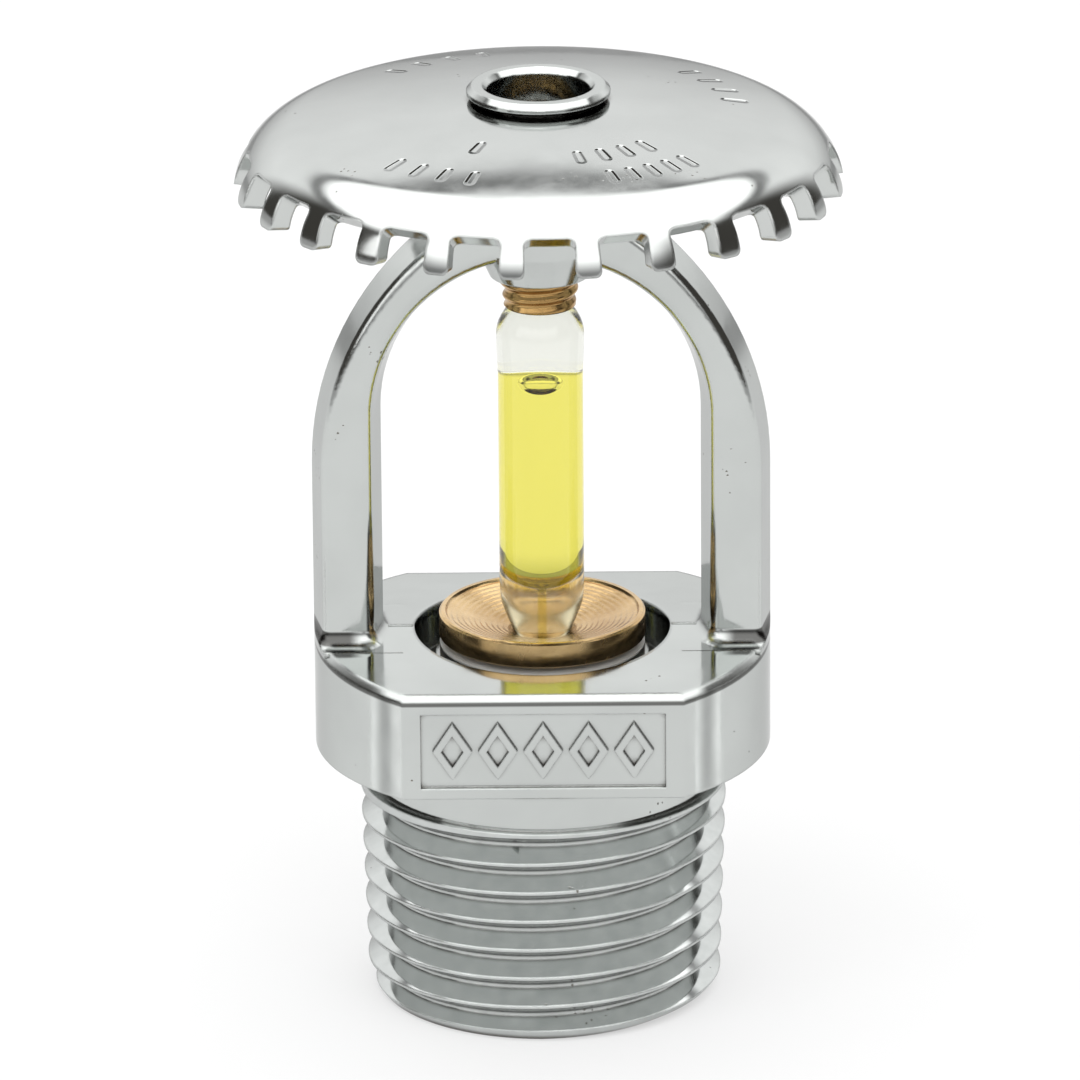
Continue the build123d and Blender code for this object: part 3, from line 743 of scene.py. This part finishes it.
def make_bulb_glass(material):
    """Solid glass form; the liquid sits inside it as a piece of its own."""
    radius, bottom, top = turned_size("bulb_glass")
    head_centre = top - radius
    outline = [(POLE, bottom)] + arc((0, bottom + FOOT_ARC), FOOT_ARC, -88, -17, 16)
    outline += eased([outline[-1], *FOOT_TAPER, (radius, SHOULDER + 0.35), (radius, BODY_START)], 3)
    steps = 40
    for k in range(1, steps + 1):
        height = BODY_START + (head_centre - BODY_START) * k / steps
        outline.append((bulb_radius_at(height, radius, head_centre), height))
    swollen = bulb_radius_at(head_centre, radius, head_centre)
    for angle in range(3, 90, 3):
        outline.append((swollen * cos(radians(angle)), head_centre + radius * sin(radians(angle))))
    outline.append((POLE, top))
    points, faces = polar_grid(outline, 128)
    add_piece("bulb_glass_form", points, faces, material, "valve_stack", "bulb_glass", 60)


def make_bulb_fluid(material):
    """Column of liquid with a round bottom and a domed top, and the thin stem below it."""
    radius = turned_size("bulb_glass")[0] - CHAMBER_WALL
    roof_radius = (radius ** 2 + ROOF_RISE ** 2) / (2 * ROOF_RISE)
    roof_reach = degrees(asin(radius / roof_radius))
    outline = [(0.01, STEM_FOOT), (STEM_RADIUS * 0.8, STEM_FOOT),
               (STEM_RADIUS, STEM_FOOT + 0.1), (STEM_RADIUS, CHAMBER_FLOOR - 0.1)]
    outline += arc((0, CHAMBER_FLOOR + radius), radius, -82, 0, 20)
    outline += arc((0, CHAMBER_ROOF - roof_radius), roof_radius, 90 - roof_reach, 89.7, 16)
    points, faces = polar_grid(filled_out(outline, 0.3), 96)
    add_piece("bulb_liquid", points, faces, material, "valve_stack", "bulb_fluid", 60)


def make_bubble(material):
    """Gas bubble that floats against the roof of the chamber."""
    centre = CHAMBER_ROOF - BUBBLE_HALF_HEIGHT - BUBBLE_GAP
    outline = []
    for k in range(25):
        angle = radians(-90 + 7.5 * k)
        outline.append((max(BUBBLE_RADIUS * cos(angle), 0.005), centre + BUBBLE_HALF_HEIGHT * sin(angle)))
    points, faces = polar_grid(outline, 64)
    add_piece("bulb_bubble", points, faces, material, "valve_stack", None, 60)


# ---------------------------------------------------------------- screw and button

SCREW_PITCH = 0.80
SCREW_GROOVE = 0.22
SCREW_TIP = 2.12
SCREW_STEP = 0.05
CUP_GAP = 0.06
HEX_APOTHEM = 1.25
HEX_DEPTH = 2.2
HEX_CHAMFER = 0.12


def hex_radius(bearing):
    """Distance from the centre to a hexagon's side at a bearing."""
    sector = pi / 3
    return HEX_APOTHEM / cos((bearing % sector) - sector / 2)


def ridge_radius(bearing, height, bottom, radius):
    """Helical ridges, which run out near the slimmer point of the screw."""
    turn = (height / SCREW_PITCH - bearing / (2 * pi)) % 1
    crest = 0.5 + 0.5 * cos(2 * pi * turn)
    widening = min(1.0, max(0.0, (height - bottom - 0.2) / 2.4))
    run_in = min(1.0, (height - bottom) / 0.6)
    return SCREW_TIP + (radius - SCREW_TIP) * widening - SCREW_GROOVE * (1 - crest) * run_in


def make_screw(material):
    """Set screw: point cupped round the bulb's head, true helical ridges and a hexagon socket."""
    radius, bottom, top = turned_size("compression_screw")
    bulb_radius, _, bulb_top = turned_size("bulb_glass")
    cup_radius = bulb_radius + CUP_GAP
    cup_depth = bulb_top + CUP_GAP - bottom
    cup_centre = cup_depth - cup_radius
    cup_rim = sqrt(cup_radius ** 2 - cup_centre ** 2)
    rows = [(POLE, bottom + cup_depth)]
    for k in range(1, 9):
        across = cup_rim * k / 8
        rows.append((across, bottom + sqrt(cup_radius ** 2 - across ** 2) + cup_centre))
    rows += [(cup_rim + 0.03, bottom), (SCREW_TIP - 0.08, bottom), (SCREW_TIP, bottom + 0.08)]

    def ridge(height):
        return lambda bearing: (ridge_radius(bearing, height, bottom, radius), height)

    count = int((top - bottom - 0.2) / SCREW_STEP)
    rows += [ridge(bottom + 0.12 + SCREW_STEP * k) for k in range(count)]
    rows += [(radius - 0.45, top - 0.02), (radius - 0.55, top)]
    rows += [lambda bearing: (hex_radius(bearing) + HEX_CHAMFER, top),
             lambda bearing: (hex_radius(bearing), top - 0.1),
             lambda bearing: (hex_radius(bearing), top - HEX_DEPTH),
             (POLE, top - HEX_DEPTH - 0.3)]
    points, faces = polar_grid(rows, 72)
    add_piece("screw_body", points, faces, material, "screw", "compression_screw", 40)


FLANGE_THICKNESS = 1.55
PILOT_RADIUS = 3.55
PILOT_CHAMFER = 0.4
CAP_CORNER = 0.12
CAP_EDGE_BAND = 0.36
# (radius, height) of the dish that holds the bulb's foot
CAP_DISH = ((POLE, 20.30), (0.70, 20.30), (0.70, 20.98), (1.95, 22.23), (2.25, 22.33))


def make_button(material):
    """Turned cap with a dished top and soft corners."""
    radius, bottom, top = turned_size("button")
    flange = top - FLANGE_THICKNESS
    band = radius - CAP_EDGE_BAND
    outline = [*CAP_DISH,
               (band - CAP_CORNER, top - 0.02 - CAP_CORNER), (band, top), (radius - CAP_CORNER, top),
               (radius, top - CAP_CORNER), (radius, flange + CAP_CORNER), (radius - CAP_CORNER, flange),
               (PILOT_RADIUS, flange), (PILOT_RADIUS, bottom + PILOT_CHAMFER),
               (PILOT_RADIUS - PILOT_CHAMFER, bottom), (POLE, bottom)]
    points, faces = polar_grid(filled_out(outline, 0.25), 160)
    add_piece("button_cap", points, faces, material, "valve_stack", "button", 28)


# ---------------------------------------------------------------- dressing the CAD nodes

def dress(node, material):
    """Give a CAD node its material in every slot."""
    thing = bpy.data.objects[node]
    if not thing.material_slots:
        thing.data.materials.append(material)
    for place in thing.material_slots:
        place.material = material


make_studio()
casting_look = chrome_material("chrome_casting_look", (0.555, 0.575, 0.562), 0.030, 0.34, 0.15, casting=True)
dress("frame", casting_look)
make_parting_flash(casting_look)
make_deflector(chrome_material("chrome_sheet_look", (0.575, 0.592, 0.58), 0.010, 0.32, 0.25, dash_marks))
make_button(brass_material("button_brass_look", (0.66, 0.47, 0.24), (0.43, 0.27, 0.11), 0.34, 0.013))
make_screw(brass_material("screw_brass_look", (0.52, 0.33, 0.13), (0.22, 0.12, 0.04), 0.2, 0.003))
make_bulb_glass(clear_material("bulb_glass_look", GLASS_INDEX, (0.80, 0.81, 0.75), worked_ends=True))
make_bulb_fluid(fluid_material())
make_bubble(clear_material("bubble_look", 1 / LIQUID_INDEX, (0.98, 0.98, 0.94)))
dress("disc_spring", spring_material())
film_look = film_material()
dress("upper_seal_film", film_look)
dress("lower_seal_film", film_look)
